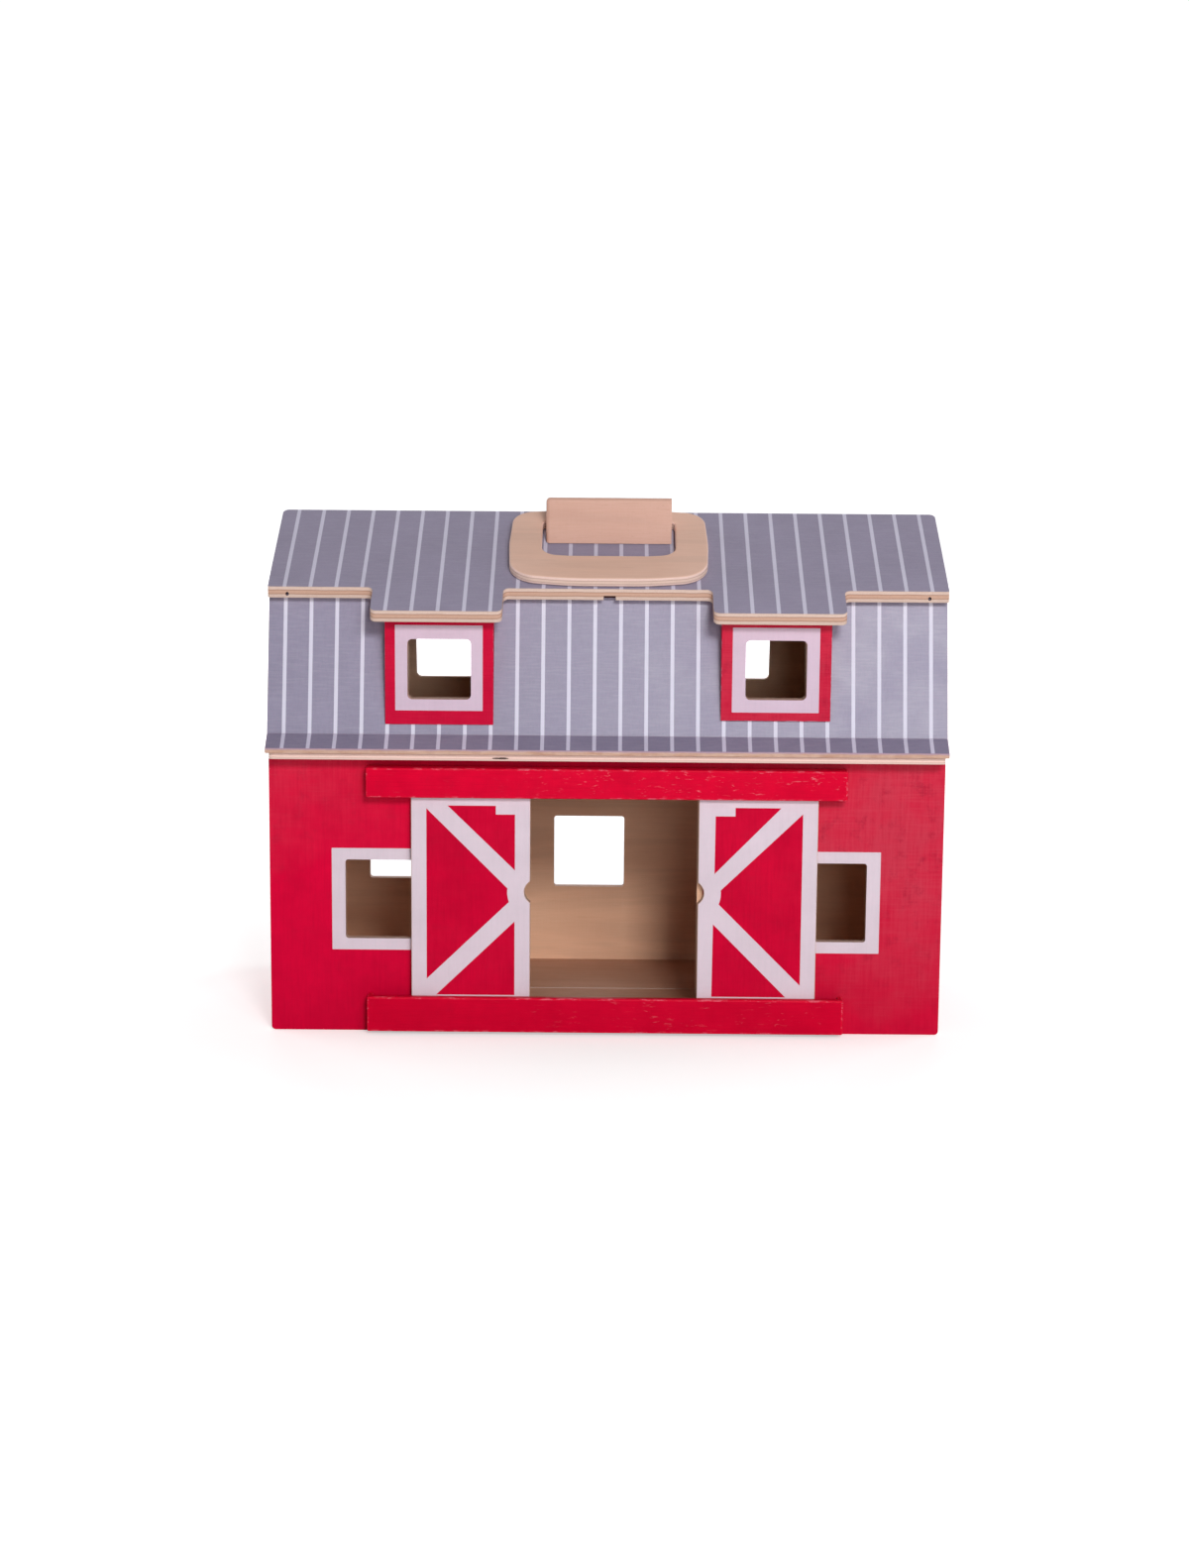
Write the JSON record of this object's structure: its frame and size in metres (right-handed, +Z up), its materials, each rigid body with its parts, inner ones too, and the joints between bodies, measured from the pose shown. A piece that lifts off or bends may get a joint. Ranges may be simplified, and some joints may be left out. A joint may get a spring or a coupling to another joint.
{
  "type": "toy barn",
  "caption": "Wooden toy barn that folds open at its end, with sliding front doors, dormers, a loft and a hinged carrying ring.",
  "frame": {"origin": "on the ground under the middle of the closed barn, where the split between the halves meets the middle of the length", "axes": "+X along the ridge to the right as seen from the doors, +Y from the doors to the rear, +Z up"},
  "size_m": [0.3469, 0.1805, 0.2712],
  "materials": {
    "red_paint": "red satin paint on plywood",
    "grey_paint": "lilac grey satin paint with pale stripes on plywood",
    "dark_grey_paint": "darker lilac grey satin paint on wood",
    "birch_ply": "clear lacquer on light plywood",
    "plain_ply": "bare plywood",
    "beech": "clear lacquer on beech",
    "steel": "bright zinc plated steel"
  },
  "bodies": {
    "front_half": {"front_wall": "red_paint", "front_left_end_wall": "red_paint", "front_right_end_wall": "red_paint", "front_floor": "plain_ply", "front_loft_floor": "birch_ply", "front_lower_roof": "grey_paint", "front_upper_roof": "grey_paint", "front_eave": "dark_grey_paint", "left_dormer": "red_paint", "right_dormer": "red_paint", "upper_door_rail": "red_paint", "lower_door_rail": "red_paint", "front_lower_hinge_leaf": "steel", "front_upper_hinge_leaf": "steel", "lower_hinge_pin": "steel", "upper_hinge_pin": "steel", "front_hinge_screw_1": "steel", "front_hinge_screw_2": "steel", "front_hinge_screw_3": "steel", "front_hinge_screw_4": "steel", "handle_keeper_block": "beech", "handle_roof_leaf": "steel", "handle_hinge_pin": "steel", "handle_roof_screw_1": "steel", "handle_roof_screw_2": "steel"},
    "rear_half": {"rear_wall": "red_paint", "rear_left_end_wall": "red_paint", "rear_right_end_wall": "red_paint", "rear_floor": "plain_ply", "rear_loft_floor": "birch_ply", "rear_lower_roof": "grey_paint", "rear_upper_roof": "grey_paint", "rear_eave": "dark_grey_paint", "rear_lower_hinge_leaf": "steel", "rear_upper_hinge_leaf": "steel", "rear_hinge_screw_1": "steel", "rear_hinge_screw_2": "steel", "rear_hinge_screw_3": "steel", "rear_hinge_screw_4": "steel"},
    "left_door": {"left_door": "red_paint"},
    "right_door": {"right_door": "red_paint"},
    "handle": {"handle_ring": "birch_ply", "handle_ring_leaf": "steel", "handle_ring_screw_1": "steel", "handle_ring_screw_2": "steel"}
  },
  "joints": [
    {"name": "barn_fold", "type": "hinge", "parent": "front_half", "child": "rear_half", "pos_m": [-0.1736, 0, 0.0725], "axis": [0, 0, 1], "range_deg": [0, 180]},
    {"name": "left_door_slide", "type": "slide", "parent": "front_half", "child": "left_door", "axis": [1, 0, 0], "range_m": [-0.0197, 0.03825]},
    {"name": "right_door_slide", "type": "slide", "parent": "front_half", "child": "right_door", "axis": [1, 0, 0], "range_m": [-0.0465, 0.0114]},
    {"name": "handle_flip", "type": "hinge", "parent": "front_half", "child": "handle", "pos_m": [0, -0.00434, 0.26265], "axis": [-1, 0, 0], "range_deg": [0, 116]}
  ]
}
